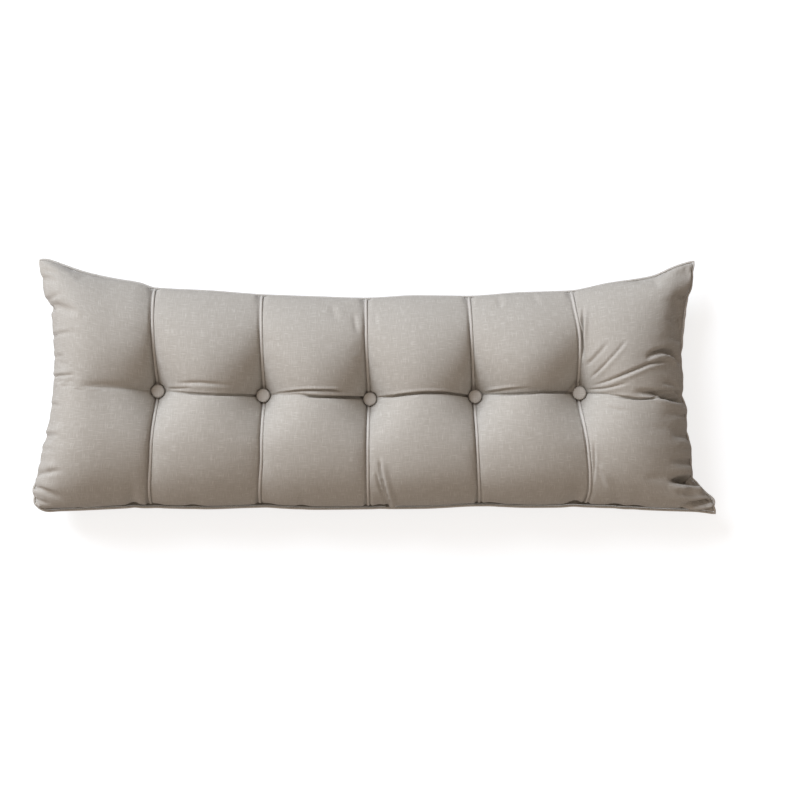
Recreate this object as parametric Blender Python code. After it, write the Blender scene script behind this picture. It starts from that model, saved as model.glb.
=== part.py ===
"""Long button-tufted headboard cushion, lying flat on its back with its face up.

Metres, +Z out of the face, +X along the cushion and +Y towards its upper edge. The origin is at
the middle of the surface it rests on. The filled cover is one solid with five upright channels
and a dimple at each button. A narrow self-piping lies in each channel, a covered button sits over
each piping at mid height, and one more piping runs round the edge seam.

The face is laid out by two parameters. Along the cushion, u runs from 0 at the left edge to 6 at
the right edge and is whole on each channel. Across it, v runs from -1 at the lower edge through 0
on the button row to 1 at the upper edge.
"""

import math
from typing import NamedTuple

import bmesh
import bpy
import numpy as np

MILLIMETRE = 0.001

# Heights above the surface that the cushion rests on
CROWN_HEIGHT = 0.188
EDGE_HEIGHT = 0.070
EAR_DROOP = 0.016
EAR_POWER_ALONG = 6
EAR_POWER_ACROSS = 4

# Depths below the crown, and the reach of a dimple
CHANNEL_DEPTH = 0.042
VALLEY_DEPTH = 0.036
DIMPLE_DEPTH = 0.012
DIMPLE_REACH = 0.058

# Half the width of the valley along the button row, as a share of the way to an edge, and how far
# in from the left and right edges it fades, in lobes
VALLEY_HALF_WIDTH = 0.46
VALLEY_FADE = 0.7

# Roundness of the cover towards its edges, across a lobe and under the cushion
EDGE_POWER = 3.0
LOBE_POWER = 2.2
LOBE_FULLNESS = 0.6
BACK_FULLNESS = 1.22

# Pipings, and the clearance between pieces
PIPING_RADIUS = 0.0033
CLEARANCE = 0.0003
CHANNEL_FLOOR_HALF_WIDTH = 0.0042
PIPING_END_HEIGHT = 0.007
SEAM_PIPING_SIDES = 8
EDGE_PIPING_SIDES = 6

# How far the flat facets of each piping are from its middle line, and the height of a seam
# piping's upper facet above the channel's floor
SEAM_PIPING_FLAT = PIPING_RADIUS * math.cos(math.pi / SEAM_PIPING_SIDES)
EDGE_PIPING_FLAT = PIPING_RADIUS * math.cos(math.pi / EDGE_PIPING_SIDES)
PIPING_TOP = CLEARANCE + PIPING_RADIUS + SEAM_PIPING_FLAT

# Buttons: a shallow dome of covered cloth on a flat back, seated in the cover
BUTTON_SEAT_RADIUS = 0.0165
BUTTON_SIDES = 16


class ButtonRing(NamedTuple):
    """One ring of a button's dome, in millimetres: its radius, and its height above the back."""

    radius: float
    height: float


class Channel(NamedTuple):
    """One upright channel, in millimetres: x at five heights, and the y of its button."""

    x_bottom: float
    x_low: float
    x_button: float
    x_high: float
    x_top: float
    y_button: float


class EndEdge(NamedTuple):
    """The left and right edge seams at one height: v, and x in millimetres."""

    v: float
    x_left: float
    x_right: float


class LongEdge(NamedTuple):
    """The lower edge, the button row and the upper edge at one station: u, and y in millimetres."""

    u: float
    y_bottom: float
    y_middle: float
    y_top: float


BUTTON_RINGS = [
    ButtonRing(10.5, 0.0),
    ButtonRing(13.5, 3.0),
    ButtonRing(12.8, 5.8),
    ButtonRing(9.8, 8.0),
    ButtonRing(5.2, 9.4),
]

CHANNELS = [
    Channel(-460, -445, -437, -439, -450, -10),
    Channel(-235, -223, -224, -224, -233, -19),
    Channel(-14, -11, -8, -14, -17, -26),
    Channel(214, 205, 205, 195, 192, -21),
    Channel(437, 429, 416, 410, 401, -14),
]

END_EDGES = [
    EndEdge(-1.00, -694, 693),
    EndEdge(-0.85, -692, 676),
    EndEdge(-0.70, -680, 650),
    EndEdge(-0.50, -674, 644),
    EndEdge(-0.25, -662, 634),
    EndEdge(0.00, -652, 624),
    EndEdge(0.25, -650, 621),
    EndEdge(0.50, -652, 628),
    EndEdge(0.70, -658, 633),
    EndEdge(0.85, -672, 644),
    EndEdge(1.00, -682, 650),
]

LONG_EDGES = [
    LongEdge(0.00, -248, 0, 252),
    LongEdge(0.10, -250, 0, 250),
    LongEdge(0.20, -248, -1, 245),
    LongEdge(0.40, -245, -2, 228),
    LongEdge(0.65, -242, -4, 214),
    LongEdge(1.00, -240, -10, 194),
    LongEdge(1.50, -244, -8, 191),
    LongEdge(2.00, -240, -19, 180),
    LongEdge(2.50, -243, -19, 178),
    LongEdge(3.00, -242, -26, 177),
    LongEdge(3.50, -242, -15, 182),
    LongEdge(4.00, -238, -21, 178),
    LongEdge(4.50, -241, -12, 187),
    LongEdge(5.00, -239, -14, 193),
    LongEdge(5.33, -242, -17, 209),
    LongEdge(5.66, -246, -21, 221),
    LongEdge(5.85, -249, -25, 240),
    LongEdge(6.00, -253, -28, 252),
]

# Where the grid of the face has its rows, as a share of the way from the button row to an edge
ROW_SHARES = [0.036, 0.074, 0.12, 0.18, 0.27, 0.38, 0.50, 0.62, 0.74, 0.85, 0.93, 0.977, 1.0]

# Where it has its columns, as a share of the way across a lobe
INNER_SHARES = [0.055, 0.14, 0.28, 0.50, 0.72, 0.86, 0.945]
END_LOBE_SHARES = [0.025, 0.08, 0.18, 0.34, 0.54, 0.74, 0.89]

# How far in from the edges the rings of the back lie, as shares of the length and of the half width
BACK_RINGS = [(0.010, 0.035), (0.035, 0.12), (0.085, 0.27), (0.155, 0.46)]

LAST_STATION = float(len(CHANNELS) + 1)
LINEN_COLOUR = (0.47, 0.43, 0.39, 1.0)
PIPING_COLOUR = (0.52, 0.48, 0.43, 1.0)
COVER_ROUGHNESS = 0.9
PIPING_ROUGHNESS = 0.85

# Shading is smooth except where two faces meet more sharply than this, in degrees
SHARP_ANGLE = 60.0


def smooth_through(stations, values, at):
    """Reads a curve that passes through each value without overshooting between them."""
    stations = np.asarray(stations, float)
    values = np.asarray(values, float)
    steps = np.diff(stations)
    rates = np.diff(values) / steps
    slopes = np.concatenate([rates[:1], np.zeros(len(rates) - 1), rates[-1:]])
    same_way = rates[:-1] * rates[1:] > 0.0
    means = 2.0 * rates[:-1] * rates[1:] / np.where(same_way, rates[:-1] + rates[1:], 1.0)
    slopes[1:-1] = np.where(same_way, means, 0.0)
    piece = np.clip(np.searchsorted(stations, at, side="right") - 1, 0, len(steps) - 1)
    part = (at - stations[piece]) / steps[piece]
    rest = 1.0 - part
    start = (1.0 + 2.0 * part) * rest**2 * values[piece] + part * rest**2 * steps[piece] * slopes[piece]
    end = (3.0 - 2.0 * part) * part**2 * values[piece + 1]
    return start + end - part**2 * rest * steps[piece] * slopes[piece + 1]


def blend(start, end, value):
    """Eases from 0 at start to 1 at end."""
    part = np.clip((value - start) / (end - start), 0.0, 1.0)
    return part**2 * (3.0 - 2.0 * part)


def section_x(v):
    """The x of the left edge, each channel and the right edge at one v, in metres."""
    ends_at = [row.v for row in END_EDGES]
    left = smooth_through(ends_at, [row.x_left for row in END_EDGES], v)
    right = smooth_through(ends_at, [row.x_right for row in END_EDGES], v)
    heights = [-1.0, -0.5, 0.0, 0.5, 1.0]
    inner = [smooth_through(heights, channel[:5], v) for channel in CHANNELS]
    return np.array([left, *inner, right]) * MILLIMETRE


def plan_x(u, v):
    """The x of the point (u, v)."""
    return smooth_through(np.arange(LAST_STATION + 1.0), section_x(v), u)


def plan_y(u, v):
    """The y of the point (u, v): straight shares of the way from the button row to an edge."""
    stations = [row.u for row in LONG_EDGES]
    bottom, middle, top = (
        smooth_through(stations, [row[column] for row in LONG_EDGES], u) for column in (1, 2, 3)
    )
    edge = top if v >= 0.0 else bottom
    return (middle + (edge - middle) * abs(v)) * MILLIMETRE


def fullness(u, v):
    """How full the cushion is at (u, v): 0 on the edge seam, 1 well inside it."""
    from_end = np.clip(np.minimum(u, LAST_STATION - u), 0.0, 1.0)
    along = math.sqrt(1.0 - (1.0 - from_end) ** EDGE_POWER)
    across = math.sqrt(1.0 - min(abs(v), 1.0) ** EDGE_POWER)
    return along * across


def seam_height(u, v):
    """The height of the edge seam, which droops towards the four ears."""
    out = abs(2.0 * u / LAST_STATION - 1.0)
    return EDGE_HEIGHT - EAR_DROOP * out**EAR_POWER_ALONG * abs(v) ** EAR_POWER_ACROSS


def lobe_arch(share):
    """The arch of a lobe: 1 at its middle, where share is 0, and 0 in the channel beside it."""
    return (1.0 - min(abs(share), 1.0) ** LOBE_POWER) ** LOBE_FULLNESS


def lobe_share(u):
    """How far u is from the middle of its lobe towards a channel, from 0 to 1."""
    nearest = min(max(round(u), 1), len(CHANNELS))
    return max(0.0, 1.0 - 2.0 * abs(u - nearest))


def dimple_height():
    """The height of the channel's floor under a button."""
    return CROWN_HEIGHT - CHANNEL_DEPTH - VALLEY_DEPTH - DIMPLE_DEPTH


def near_button(x, y):
    """How far (x, y) is from the nearest button's centre."""
    return min(math.hypot(x - c.x_button * MILLIMETRE, y - c.y_button * MILLIMETRE) for c in CHANNELS)


def face_height(u, v, x, y, on_floor):
    """The height of the face at (u, v), whose place is (x, y)."""
    full = fullness(u, v)
    share = 1.0 if on_floor else lobe_share(u)
    channel = CHANNEL_DEPTH * (1.0 - lobe_arch(share))
    valley = VALLEY_DEPTH * (1.0 - lobe_arch(max(0.0, 1.0 - abs(v) / VALLEY_HALF_WIDTH)))
    valley *= blend(0.0, VALLEY_FADE, min(u, LAST_STATION - u))
    base = seam_height(u, v)
    height = base + (CROWN_HEIGHT - base - channel - valley) * full
    pull = 1.0 - blend(BUTTON_SEAT_RADIUS, DIMPLE_REACH, near_button(x, y))
    seat = dimple_height() + (0.0 if on_floor else PIPING_TOP)
    return height + (seat - height) * pull


def back_height(u, v):
    """The height of the back at (u, v): it curves down from the edge seam to rest on z = 0."""
    return seam_height(u, v) * max(0.0, 1.0 - BACK_FULLNESS * fullness(u, v))


def grid_rows():
    """The v of each row of the face's grid, from the lower edge to the upper one."""
    upper = np.array(ROW_SHARES)
    return np.concatenate([-upper[::-1], [0.0], upper])


def grid_columns():
    """The columns of the face's grid, each as (u, sideways shift, whether it is a channel floor)."""
    columns = [(0.0, 0.0, False)]
    for lobe in range(int(LAST_STATION)):
        shares = INNER_SHARES
        if lobe == 0:
            shares = END_LOBE_SHARES
        if lobe == LAST_STATION - 1.0:
            shares = [1.0 - share for share in reversed(END_LOBE_SHARES)]
        columns += [(lobe + share, 0.0, False) for share in shares]
        if lobe < len(CHANNELS):
            columns += [(lobe + 1.0, side * CHANNEL_FLOOR_HALF_WIDTH, True) for side in (-1.0, 1.0)]
    return columns + [(LAST_STATION, 0.0, False)]


def face_grid():
    """The points of the face as an array of rows, columns and x, y, z."""
    rows = grid_rows()
    columns = grid_columns()
    points = np.zeros((len(rows), len(columns), 3))
    for j, v in enumerate(rows):
        for i, (u, shift, on_floor) in enumerate(columns):
            x = plan_x(u, v) + shift
            y = plan_y(u, v)
            points[j, i] = x, y, face_height(u, v, x, y, on_floor)
    return points


def ring_of(array):
    """The outermost entries of a grid, counter-clockwise from its lower left corner."""
    return np.concatenate([array[0, :-1], array[:-1, -1], array[-1, :0:-1], array[:0:-1, 0]])


def edge_parameters():
    """The (u, v) of each point on the edge seam, in the order of the grid's outer ring."""
    u, v = np.meshgrid([column[0] for column in grid_columns()], grid_rows())
    return ring_of(np.stack([u, v], axis=-1))


def back_ring(edge, inset):
    """One ring of the back's points, drawn in from the edge seam by the shares in inset."""
    half = LAST_STATION / 2.0
    points = []
    for u, v in edge:
        ring_u = half + (u - half) * (1.0 - inset[0] * 2.0)
        ring_v = v * (1.0 - inset[1])
        points.append((plan_x(ring_u, ring_v), plan_y(ring_u, ring_v), back_height(ring_u, ring_v)))
    return points


def material(name, colour, roughness):
    """A plain cloth material for one piece."""
    cloth = bpy.data.materials.new(name)
    cloth.use_nodes = True
    shader = cloth.node_tree.nodes["Principled BSDF"]
    shader.inputs["Base Color"].default_value = colour
    shader.inputs["Roughness"].default_value = roughness
    shader.inputs["Metallic"].default_value = 0.0
    cloth.diffuse_color = colour
    return cloth


def add_object(name, mesh, cloth):
    """Puts a finished bmesh into the scene as one named object, shaded smooth."""
    bmesh.ops.recalc_face_normals(mesh, faces=mesh.faces)
    data = bpy.data.meshes.new(name)
    mesh.to_mesh(data)
    mesh.free()
    data.materials.append(cloth)
    data.shade_smooth()
    data.set_sharp_from_angle(angle=math.radians(SHARP_ANGLE))
    piece = bpy.data.objects.new(name, data)
    bpy.context.scene.collection.objects.link(piece)
    return piece


def bridge(mesh, first, second, closed=True):
    """Joins two rows of vertices with quads, round a ring or along a strip."""
    count = len(first)
    for i in range(count if closed else count - 1):
        after = (i + 1) % count
        mesh.faces.new((first[i], first[after], second[after], second[i]))


def add_rows(mesh, points):
    """Adds a row of vertices for each row of points."""
    return [[mesh.verts.new(point) for point in row] for row in points]


def build_cushion(face):
    """The filled cover: the face, and a back of rings that ends in one flat resting face."""
    mesh = bmesh.new()
    rows = add_rows(mesh, face)
    for lower, upper in zip(rows, rows[1:]):
        bridge(mesh, lower, upper, closed=False)
    outer = list(ring_of(np.array(rows, dtype=object)))
    edge = edge_parameters()
    for ring in add_rows(mesh, [back_ring(edge, inset) for inset in BACK_RINGS]):
        bridge(mesh, outer, ring)
        outer = ring
    mesh.faces.new(outer)
    add_object("cushion", mesh, material("linen_cover", LINEN_COLOUR, COVER_ROUGHNESS))


def unit(vector):
    """The vector at length 1."""
    return vector / np.linalg.norm(vector)


def path_direction(path, i, closed):
    """The direction of a path at its point i, halfway between the stretches that meet there."""
    stretches = []
    if closed or i > 0:
        stretches.append(unit(path[i] - path[i - 1]))
    if closed or i < len(path) - 1:
        stretches.append(unit(path[(i + 1) % len(path)] - path[i]))
    return unit(sum(stretches))


def sweep(path, radius, sides, away, closed):
    """A tube of flat facets along a path, with one facet towards the cover at each point.

    away holds one vector for each point, which points away from the cover.
    """
    mesh = bmesh.new()
    angles = (np.arange(sides) + 0.5) * 2.0 * math.pi / sides
    rings = []
    for i, point in enumerate(path):
        along = path_direction(path, i, closed)
        outward = unit(away[i] - along * np.dot(away[i], along))
        sideways = np.cross(along, outward)
        ring = [point + radius * (math.cos(a) * outward + math.sin(a) * sideways) for a in angles]
        rings.append([mesh.verts.new(corner) for corner in ring])
    for first, second in zip(rings, rings[1:]):
        bridge(mesh, first, second)
    if closed:
        bridge(mesh, rings[-1], rings[0])
    else:
        mesh.faces.new(rings[0])
        mesh.faces.new(rings[-1])
    return mesh


def seam_path(channel_number):
    """The middle of one channel's floor, from just above the lower edge to the upper edge."""
    rows = grid_rows()
    floor = []
    for v in rows:
        x = section_x(v)[channel_number]
        y = plan_y(float(channel_number), v)
        floor.append(np.array([x, y, face_height(float(channel_number), v, x, y, True)]))
    for end, inner in ((0, 1), (-1, -2)):
        share = PIPING_END_HEIGHT / (floor[inner][2] - floor[end][2])
        floor[end] = floor[end] + (floor[inner] - floor[end]) * share
    return np.array(floor)


def lift_off(path, distance):
    """Moves an open path off the surface under it, square to each stretch, keeping the distance."""
    lifted = []
    outward = []
    for i, point in enumerate(path):
        normals = []
        for start, end in ((i - 1, i), (i, i + 1)):
            if start >= 0 and end < len(path):
                along = unit(path[end] - path[start])
                normals.append(unit(np.array([0.0, 0.0, 1.0]) - along * along[2]))
        normal = unit(sum(normals))
        lifted.append(point + normal * distance / np.dot(normal, normals[0]))
        outward.append(normal)
    return np.array(lifted), outward


def build_seam_piping(channel_number):
    """The self-piping in one channel, from the lower edge piping to the upper one."""
    path, outward = lift_off(seam_path(channel_number), PIPING_RADIUS + CLEARANCE)
    mesh = sweep(path, PIPING_RADIUS, SEAM_PIPING_SIDES, outward, closed=False)
    name = f"seam_piping_{channel_number}"
    add_object(name, mesh, material(name, PIPING_COLOUR, PIPING_ROUGHNESS))


def build_edge_piping(face):
    """The self-piping round the edge seam, just outside the cover."""
    on_floor = np.array([column[2] for column in grid_columns()])
    keep = ring_of(np.broadcast_to(~on_floor, face.shape[:2]))
    edge = ring_of(face)[keep]
    path = []
    outward = []
    for i, point in enumerate(edge):
        before = unit((point - edge[i - 1]) * (1.0, 1.0, 0.0))
        after = unit((edge[(i + 1) % len(edge)] - point) * (1.0, 1.0, 0.0))
        normals = [np.cross(along, (0.0, 0.0, 1.0)) for along in (before, after)]
        normal = unit(normals[0] + normals[1])
        reach = (EDGE_PIPING_FLAT + CLEARANCE) / np.dot(normal, normals[0])
        path.append(point + normal * reach)
        outward.append(normal)
    mesh = sweep(np.array(path), PIPING_RADIUS, EDGE_PIPING_SIDES, outward, closed=True)
    add_object("edge_piping", mesh, material("edge_piping", PIPING_COLOUR, PIPING_ROUGHNESS))


def build_button(channel_number):
    """A covered button: rings of a shallow dome over a flat back, seated on the piping."""
    channel = CHANNELS[channel_number - 1]
    mesh = bmesh.new()
    angles = np.arange(BUTTON_SIDES) * 2.0 * math.pi / BUTTON_SIDES
    circle = np.stack([np.cos(angles), np.sin(angles), np.zeros(BUTTON_SIDES)], axis=-1)
    up = np.array([0.0, 0.0, 1.0])
    rings = add_rows(mesh, [(circle * row.radius + up * row.height) * MILLIMETRE for row in BUTTON_RINGS])
    for first, second in zip(rings, rings[1:]):
        bridge(mesh, first, second)
    mesh.faces.new(rings[0])
    mesh.faces.new(rings[-1])
    name = f"button_{channel_number}"
    button = add_object(name, mesh, material(name, LINEN_COLOUR, COVER_ROUGHNESS))
    place = (channel.x_button * MILLIMETRE, channel.y_button * MILLIMETRE)
    button.location = (*place, dimple_height() + PIPING_TOP + CLEARANCE)


def main():
    """Clears the scene and builds the cushion's pieces."""
    for existing in list(bpy.data.objects):
        bpy.data.objects.remove(existing, do_unlink=True)
    face = face_grid()
    build_cushion(face)
    build_edge_piping(face)
    for channel_number in range(1, len(CHANNELS) + 1):
        build_seam_piping(channel_number)
        build_button(channel_number)


main()
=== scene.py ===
"""Looks of a long button-tufted headboard cushion, lying on its back with its face up.

The cushion's face is laid out by two parameters, as in its construction. Along the cushion, u runs
from 0 at the left edge to 6 at the right edge and is whole on each channel. Across it, v runs from
-1 at the lower edge through 0 on the button row to 1 at the upper edge. Lengths are in metres, and
the tables are in millimetres.
"""

import logging
import math
from dataclasses import dataclass, field
from enum import Enum
from typing import Any, NamedTuple

import bpy
import numpy as np
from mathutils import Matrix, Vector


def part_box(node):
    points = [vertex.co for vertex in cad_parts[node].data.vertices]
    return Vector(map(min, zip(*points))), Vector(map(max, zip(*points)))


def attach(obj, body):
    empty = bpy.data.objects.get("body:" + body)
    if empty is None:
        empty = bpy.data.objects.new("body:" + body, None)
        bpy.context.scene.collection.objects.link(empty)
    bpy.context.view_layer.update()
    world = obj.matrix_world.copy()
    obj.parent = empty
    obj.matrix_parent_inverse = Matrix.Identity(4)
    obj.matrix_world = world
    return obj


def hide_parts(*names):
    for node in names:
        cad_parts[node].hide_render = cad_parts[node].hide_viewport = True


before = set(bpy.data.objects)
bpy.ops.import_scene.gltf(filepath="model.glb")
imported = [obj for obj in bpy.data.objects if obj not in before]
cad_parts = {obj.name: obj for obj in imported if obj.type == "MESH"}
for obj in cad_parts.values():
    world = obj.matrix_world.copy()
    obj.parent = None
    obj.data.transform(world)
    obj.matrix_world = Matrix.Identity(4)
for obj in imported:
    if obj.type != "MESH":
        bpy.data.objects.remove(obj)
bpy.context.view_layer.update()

MILLIMETRE = 0.001
LOBES = 6
CLEARANCE = 0.0003
TINY = 1e-12
USUAL_ARCH = 0.75
TUCK_FADE = 0.3
END_RINGS = 6
TIP_SHARE = 0.02
log = logging.getLogger("cushion")


class Fade(Enum):
    """How a crease runs out: over what share of its length at its start and at its end."""

    BOTH = (0.25, 0.5)
    START = (0.25, 0.0)
    END = (0.0, 0.5)
    LATE = (0.45, 0.2)


class Channel(NamedTuple):
    """One upright channel, in millimetres: x at each of CHANNEL_HEIGHTS, and its button's middle."""

    x_bottom: float
    x_above_bottom: float
    x_low: float
    x_row: float
    x_high: float
    x_below_top: float
    x_top: float
    x_button: float
    y_button: float


class Lobe(NamedTuple):
    """How one upright lobe is filled: the valley's depth above the button row as a share of the
    usual depth, the power of its fall to the lower edge, and the powers of its left and right
    arches."""

    valley: float
    fall: float
    left_arch: float
    right_arch: float


class EndEdge(NamedTuple):
    """The left and right edge seams at one height: v, and x in millimetres."""

    v: float
    x_left: float
    x_right: float


class LongEdge(NamedTuple):
    """The y of the lower and upper edges at one u, in millimetres."""

    u: float
    y_bottom: float
    y_top: float


class RowPoint(NamedTuple):
    """The y of the row of buttons at one u, in millimetres."""

    u: float
    y: float


class Ear(NamedTuple):
    """One corner of the cushion: its u and v, and how far its tip is rounded off, in millimetres."""

    u: float
    v: float
    cut: float


class Lift(NamedTuple):
    """A place where the lower edge is raised: u, how far in millimetres, and half its width in u."""

    u: float
    rise: float
    width: float


class Gather(NamedTuple):
    """A place where the cloth is gathered into an end seam: v, how far the seam is drawn in at
    the left or right edge, and half its width as a share of v."""

    v: float
    left: float
    right: float
    width: float


class Crease(NamedTuple):
    """One crease, in millimetres: its route over the face, how deep it is pressed in, half its
    width, how far the cloth stands up beside it as a share of its depth (on the left of its route,
    or on the right where this is negative), how it runs out, and how much steeper it is on the side
    that stands up."""

    route: tuple[tuple[float, float], ...]
    depth: float
    width: float
    lip: float = 0.4
    fade: Fade = Fade.BOTH
    steep: float = 1.0


CHANNEL_HEIGHTS = (-1.0, -0.85, -0.5, 0.0, 0.5, 0.85, 1.0)

CHANNELS = (
    Channel(-458.5, -454, -445, -440, -442, -446, -449, -437, -10),
    Channel(-235, -231.5, -224.5, -224, -225, -228, -230, -224, -19),
    Channel(-13.5, -12.5, -12.5, -11.5, -15, -16.5, -17.5, -8, -26),
    Channel(214, 211.5, 206.5, 202, 196, 193, 192, 205, -21),
    Channel(431, 434.5, 427.5, 414, 412, 403, 401, 416, -14),
)

LOBE_SHAPES = (
    Lobe(1.0, 3.6, 0.75, 0.45),
    Lobe(1.25, 2.9, 0.75, 0.70),
    Lobe(1.08, 3.1, 0.75, 0.60),
    Lobe(0.8, 4.2, 0.75, 0.50),
    Lobe(1.8, 3.8, 0.75, 0.95),
    Lobe(1.0, 3.0, 0.75, 0.75),
)

END_EDGES = (
    EndEdge(-1.00, -696, 699),
    EndEdge(-0.92, -698, 697),
    EndEdge(-0.84, -698, 680),
    EndEdge(-0.76, -690, 663),
    EndEdge(-0.68, -684, 650),
    EndEdge(-0.50, -675, 646),
    EndEdge(-0.25, -660, 638),
    EndEdge(0.00, -652, 632),
    EndEdge(0.25, -650, 626),
    EndEdge(0.50, -654, 631),
    EndEdge(0.61, -656, 633),
    EndEdge(0.70, -669, 638),
    EndEdge(0.78, -673, 647),
    EndEdge(0.88, -682, 651),
    EndEdge(1.00, -693, 658),
)

LONG_EDGES = (
    LongEdge(0.00, -255, 265),
    LongEdge(0.10, -254, 257),
    LongEdge(0.20, -252, 248),
    LongEdge(0.40, -250, 231),
    LongEdge(0.65, -247, 217),
    LongEdge(0.85, -245, 209),
    LongEdge(1.00, -245, 198),
    LongEdge(1.50, -247, 192),
    LongEdge(2.00, -244, 184),
    LongEdge(2.50, -248, 180),
    LongEdge(3.00, -247, 177),
    LongEdge(3.50, -246, 182),
    LongEdge(4.00, -241, 181),
    LongEdge(4.50, -244, 188),
    LongEdge(5.00, -243, 192),
    LongEdge(5.33, -247, 208),
    LongEdge(5.66, -251, 222),
    LongEdge(5.85, -253, 243),
    LongEdge(6.00, -258, 257),
)

# The line on which the main folds between the buttons lie
BUTTON_ROW = (
    RowPoint(0.00, 0),
    RowPoint(0.40, -2),
    RowPoint(0.70, -5),
    RowPoint(1.00, -10),
    RowPoint(1.15, -13),
    RowPoint(1.36, -15),
    RowPoint(1.54, -17),
    RowPoint(1.78, -18),
    RowPoint(2.00, -19),
    RowPoint(2.20, -18),
    RowPoint(2.35, -18),
    RowPoint(2.56, -21),
    RowPoint(2.78, -22),
    RowPoint(3.00, -25),
    RowPoint(3.10, -21),
    RowPoint(3.22, -20),
    RowPoint(3.36, -16),
    RowPoint(3.54, -13),
    RowPoint(3.67, -13),
    RowPoint(3.81, -16),
    RowPoint(4.00, -21),
    RowPoint(4.13, -18),
    RowPoint(4.28, -17),
    RowPoint(4.48, -15),
    RowPoint(4.66, -13),
    RowPoint(4.84, -13),
    RowPoint(5.00, -15),
    RowPoint(5.22, -17),
    RowPoint(5.32, -20),
    RowPoint(5.42, -22),
    RowPoint(5.54, -24),
    RowPoint(5.66, -24),
    RowPoint(5.78, -24),
    RowPoint(5.90, -27),
    RowPoint(6.00, -30),
)

EARS = (
    Ear(0.0, 1.0, 7.0),
    Ear(0.0, -1.0, 7.0),
    Ear(6.0, 1.0, 3.0),
    Ear(6.0, -1.0, 0.0),
)

LIFTS = (
    Lift(0.86, 9.0, 0.045),
    Lift(1.06, 4.0, 0.05),
    Lift(1.40, 3.0, 0.06),
    Lift(2.07, 5.0, 0.08),
    Lift(2.40, 3.0, 0.05),
    Lift(3.12, 5.0, 0.06),
    Lift(4.12, 3.0, 0.08),
    Lift(4.90, 11.0, 0.07),
    Lift(5.24, 6.0, 0.06),
    Lift(5.40, 4.0, 0.05),
)

GATHERS = (
    Gather(0.93, 1.0, 1.5, 0.030),
    Gather(0.84, 2.5, 0.0, 0.030),
    Gather(0.76, -1.5, 4.0, 0.035),
    Gather(0.62, 3.0, -1.5, 0.030),
    Gather(0.46, 0.5, 1.5, 0.040),
    Gather(0.34, -0.7, 2.5, 0.035),
    Gather(0.18, 0.7, -2.0, 0.040),
    Gather(0.04, 0.5, 4.5, 0.035),
    Gather(-0.08, -0.5, -3.0, 0.045),
    Gather(-0.27, 0.7, 2.5, 0.035),
    Gather(-0.42, 2.5, -2.0, 0.045),
    Gather(-0.58, 1.2, 1.0, 0.035),
    Gather(-0.70, -1.0, 2.0, 0.030),
    Gather(-0.80, 0.0, 0.5, 0.035),
    Gather(-0.88, 2.5, -2.0, 0.028),
    Gather(-0.95, -1.5, 2.5, 0.025),
)

# Folds along the button row, from the left edge to the right one
ROW_FOLDS = (
    Crease(((-616, 2), (-560, 2), (-514, 0), (-476, -2), (-450, -6)), 2.4, 6, 0.2, Fade.LATE),
    Crease(((-398, 5), (-350, 6), (-313, 4), (-255, -2)), 3.6, 3.4, -0.2),
    Crease(((-416, -5), (-390, -5), (-352, -3)), 2.4, 2.0, 0.3),
    Crease(((-404, -13), (-360, -15), (-322, -17), (-270, -18), (-233, -19)), 6, 1.6, 0.2, Fade.START),
    Crease(((-208, -16), (-170, -12), (-130, -9), (-84, -9), (-60, -12)), 7.5, 1.6, 0.25, Fade.LATE),
    Crease(((-152, -18), (-103, -21), (-55, -22), (-20, -23)), 11, 1.8, 0.2, Fade.START),
    Crease(
        ((0, -23), (38, -20), (69, -16), (107, -13), (135, -13), (165, -16), (192, -20)),
        8, 1.7, 0.2, Fade.START,
    ),
    Crease(((219, -14), (249, -9), (273, -6), (316, -4)), 4.4, 1.7, 0.5),
    Crease(
        ((232, -18), (265, -17), (306, -15), (344, -13), (382, -13), (402, -14)),
        6.5, 1.6, 0.2, Fade.START,
    ),
)

# Creases that fan out from the last button over the right lobes
FAN_CREASES = (
    Crease(((422, 36), (449, 66), (474, 96)), 2.6, 3.2, 0.5),
    Crease(((429, 9), (461, 44), (494, 81), (506, 94)), 3.8, 2.4, -0.35),
    Crease(
        ((432, -1), (454, 5), (481, 16), (522, 33), (553, 45), (575, 49), (596, 54)),
        7, 2.6, -0.3, Fade.LATE,
    ),
    Crease(((426, -8), (458, -5), (490, 2), (520, 10)), 2.8, 2.2, -0.35),
    Crease(
        ((461, -18), (483, -21), (503, -23), (531, -26), (555, -25), (570, -24)),
        6.5, 1.7, 0.2, Fade.LATE,
    ),
    Crease(
        ((512, -11), (538, -14), (562, -17), (584, -21), (602, -25), (620, -28), (640, -31)),
        22, 6.8, -0.12, Fade.LATE, 1.7,
    ),
    Crease(
        ((540, 50), (549, 59), (564, 66), (584, 69), (602, 65), (616, 55), (627, 42)),
        16.0, 5.2, -0.3, Fade.LATE, 1.5,
    ),
    Crease(((578, 8), (600, 4), (622, -4)), 4.0, 3.4, -0.3),
    Crease(((600, -6), (614, -12), (628, -20)), 4.0, 2.6, -0.6, Fade.LATE),
    Crease(((458, -38), (486, -48), (510, -50)), 1.8, 3.4, 0.6),
    Crease(((422, 162), (417, 128), (416, 100), (418, 70), (421, 48)), 11.0, 2.4, 0.3),
    Crease(((438, -106), (440, -140), (441, -170), (441, -206)), 3.6, 2.0, 0.3),
    Crease(((440, -158), (454, -182), (468, -212)), 2.6, 4.4, 0.6),
)

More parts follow.
